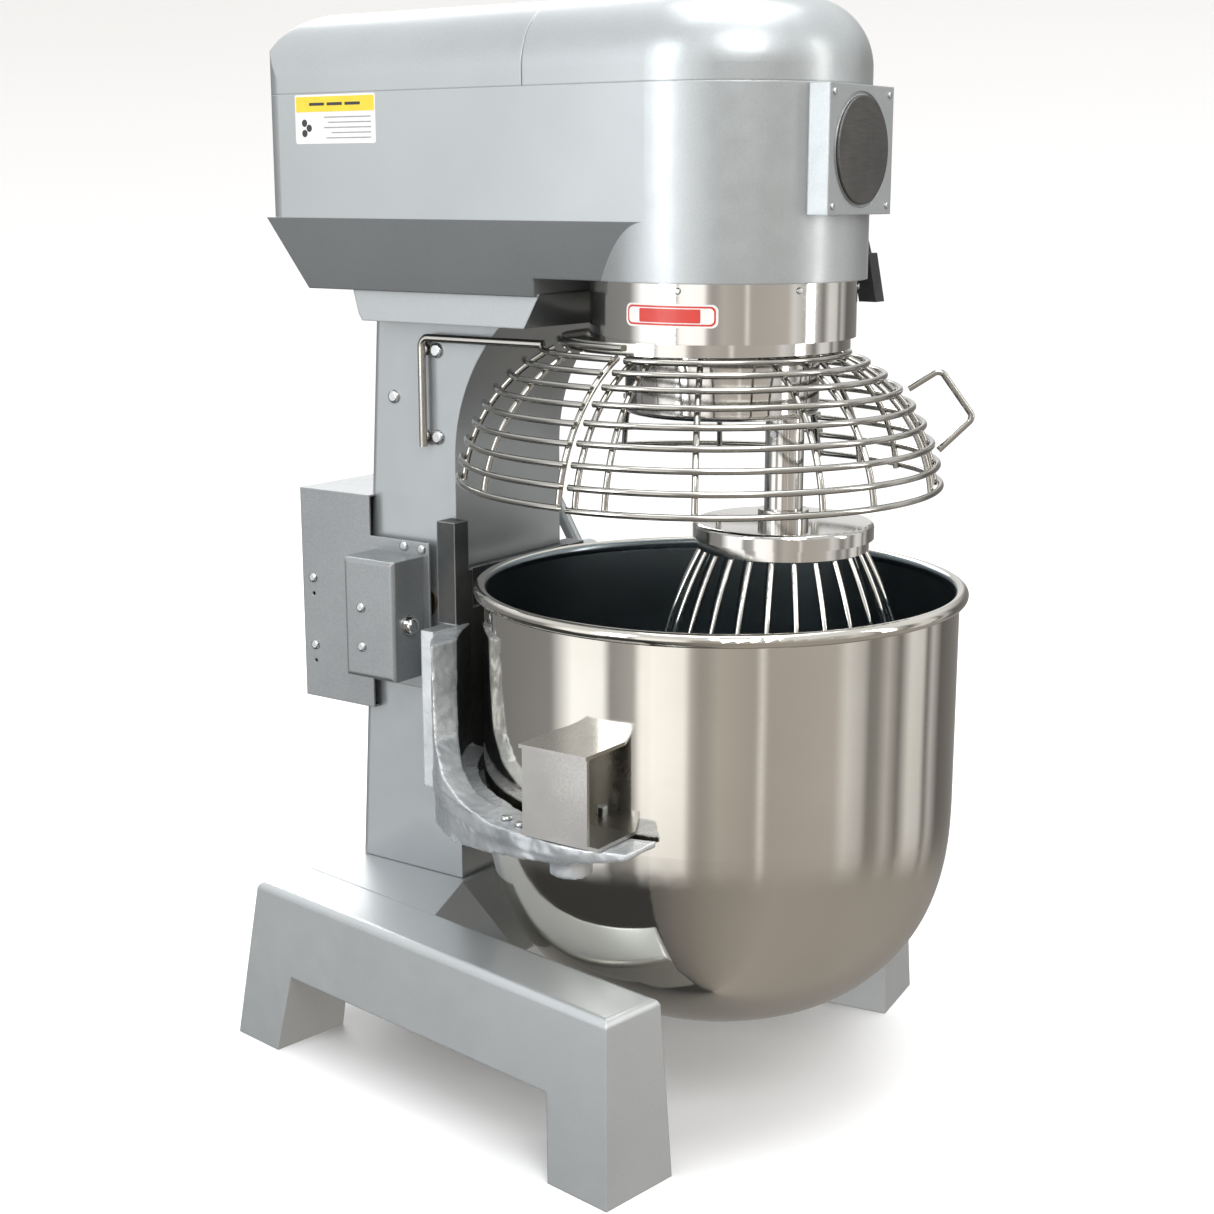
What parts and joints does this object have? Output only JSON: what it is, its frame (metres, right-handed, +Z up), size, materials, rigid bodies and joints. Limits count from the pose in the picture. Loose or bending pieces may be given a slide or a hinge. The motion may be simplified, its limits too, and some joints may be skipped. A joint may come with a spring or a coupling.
{
  "type": "commercial stand mixer",
  "caption": "Floor-standing planetary mixer on a splayed cast base, with a lift bowl, balloon whip, wire bowl guard that turns open, lift lever and speed lever.",
  "frame": {"origin": "centre of the footprint's box, on the floor", "axes": "+Z up, -Y towards the bowl's front, +X towards the side with the lift lever"},
  "size_m": [0.513, 0.5994, 0.899],
  "materials": {
    "grey_paint": "silver-grey metallic paint, satin",
    "polished_steel": "mirror-polished stainless steel",
    "wire_steel": "bright drawn stainless wire",
    "cast_yoke": "linished cast aluminium",
    "fastener": "bright zinc plated",
    "machine_steel": "machined and oiled steel",
    "aluminium": "as cast and machined",
    "bronze": "sintered bronze",
    "belt_rubber": "matt black rubber",
    "black_plastic": "black moulded phenolic",
    "light_plastic": "light grey moulded plastic"
  },
  "bodies": {
    "frame": {"base_casting": "grey_paint", "column": "grey_paint", "head_casting": "grey_paint", "front_top_cover": "grey_paint", "rear_top_cover": "grey_paint", "nose_boss": "grey_paint", "nose_cover_disc": "polished_steel", "small_screws": "fastener", "collar_ring": "polished_steel", "ring_gear": "machine_steel", "drive_plate": "aluminium", "gearbox_bearings": "machine_steel", "drive_belt": "belt_rubber", "motor_housing": "aluminium", "motor_stator": "machine_steel", "guard_left_wing": "wire_steel", "guard_right_wing": "wire_steel", "guard_ring": "polished_steel", "guard_stays": "wire_steel", "domed_bolts": "fastener", "lift_bushes": "bronze", "electrical_box": "grey_paint", "contactor": "black_plastic", "terminal_block": "light_plastic", "cable_gland": "black_plastic", "control_box": "grey_paint", "button_barrel": "polished_steel", "button_spring": "fastener"},
    "planet": {"planet_carrier": "polished_steel", "agitator_bearings": "machine_steel", "main_shaft": "machine_steel", "main_gear": "machine_steel"},
    "agitator": {"agitator_shaft": "machine_steel", "whip_hub": "polished_steel", "whip_tip": "polished_steel", "whip_wires": "polished_steel"},
    "lay_shaft": {"lay_shaft": "machine_steel", "driven_pulley": "aluminium"},
    "motor": {"motor_rotor": "machine_steel", "motor_pulley": "aluminium"},
    "selector": {"shift_fork": "machine_steel", "shift_lever": "black_plastic"},
    "shift_ring": {"shift_collar": "machine_steel"},
    "guard": {"guard_front_1": "wire_steel", "guard_front_2": "wire_steel", "guard_front_3": "wire_steel", "guard_front_4": "wire_steel", "guard_turn_ring": "polished_steel", "guard_handle": "wire_steel"},
    "carriage": {"bowl_carriage": "cast_yoke", "lift_rack": "machine_steel", "yoke_arms": "cast_yoke", "yoke_screws": "fastener"},
    "bowl": {"bowl": "polished_steel", "bowl_ears": "polished_steel"},
    "lift": {"lift_shaft": "machine_steel", "lift_lever": "grey_paint", "lift_lever_grip": "black_plastic"},
    "button": {"push_button": "polished_steel"}
  },
  "joints": [
    {"name": "planet_spin", "type": "hinge", "parent": "frame", "child": "planet", "pos_m": [0, -0.095, 0.7], "axis": [0, 0, 1], "continuous": true},
    {"name": "agitator_spin", "type": "hinge", "parent": "planet", "child": "agitator", "pos_m": [0.02983, -0.1376, 0.6], "axis": [0, 0, 1], "continuous": true},
    {"name": "lay_shaft_spin", "type": "hinge", "parent": "frame", "child": "lay_shaft", "pos_m": [0, -0.011, 0.75], "axis": [0, 0, 1], "continuous": true},
    {"name": "motor_spin", "type": "hinge", "parent": "frame", "child": "motor", "pos_m": [0, 0.183, 0.75], "axis": [0, 0, 1], "continuous": true},
    {"name": "selector_turn", "type": "hinge", "parent": "frame", "child": "selector", "pos_m": [0.1, -0.14, 0.755], "axis": [1, 0, 0], "range_deg": [-12.7, 12.7]},
    {"name": "shift_ring_slide", "type": "slide", "parent": "planet", "child": "shift_ring", "axis": [0, 0, 1], "range_m": [-0.0101, 0.0101]},
    {"name": "guard_turn", "type": "hinge", "parent": "frame", "child": "guard", "pos_m": [0, -0.079, 0.633], "axis": [0, 0, 1], "range_deg": [-110, 0]},
    {"name": "bowl_lift", "type": "slide", "parent": "frame", "child": "carriage", "axis": [0, 0, 1], "range_m": [0, 0.062]},
    {"name": "bowl_lift_off", "type": "slide", "parent": "carriage", "child": "bowl", "axis": [0, 0, 1], "range_m": [0, 0.012]},
    {"name": "lift_lever_turn", "type": "hinge", "parent": "frame", "child": "lift", "pos_m": [0.1, 0.163, 0.4], "axis": [1, 0, 0], "range_deg": [-148.2, 0]},
    {"name": "button_press", "type": "slide", "parent": "frame", "child": "button", "axis": [0, 1, 0], "range_m": [0, 0.003], "stiffness_N_per_m": 600}
  ],
  "couplings": [
    {"joint": "agitator_spin", "follows": "planet_spin", "ratio": -3.1667},
    {"joint": "lay_shaft_spin", "follows": "planet_spin", "ratio": -2.5},
    {"joint": "motor_spin", "follows": "planet_spin", "ratio": -5.0827},
    {"joint": "shift_ring_slide", "follows": "selector_turn", "m_per_rad": 0.045},
    {"joint": "lift_lever_turn", "follows": "bowl_lift", "rad_per_m": -41.667}
  ]
}
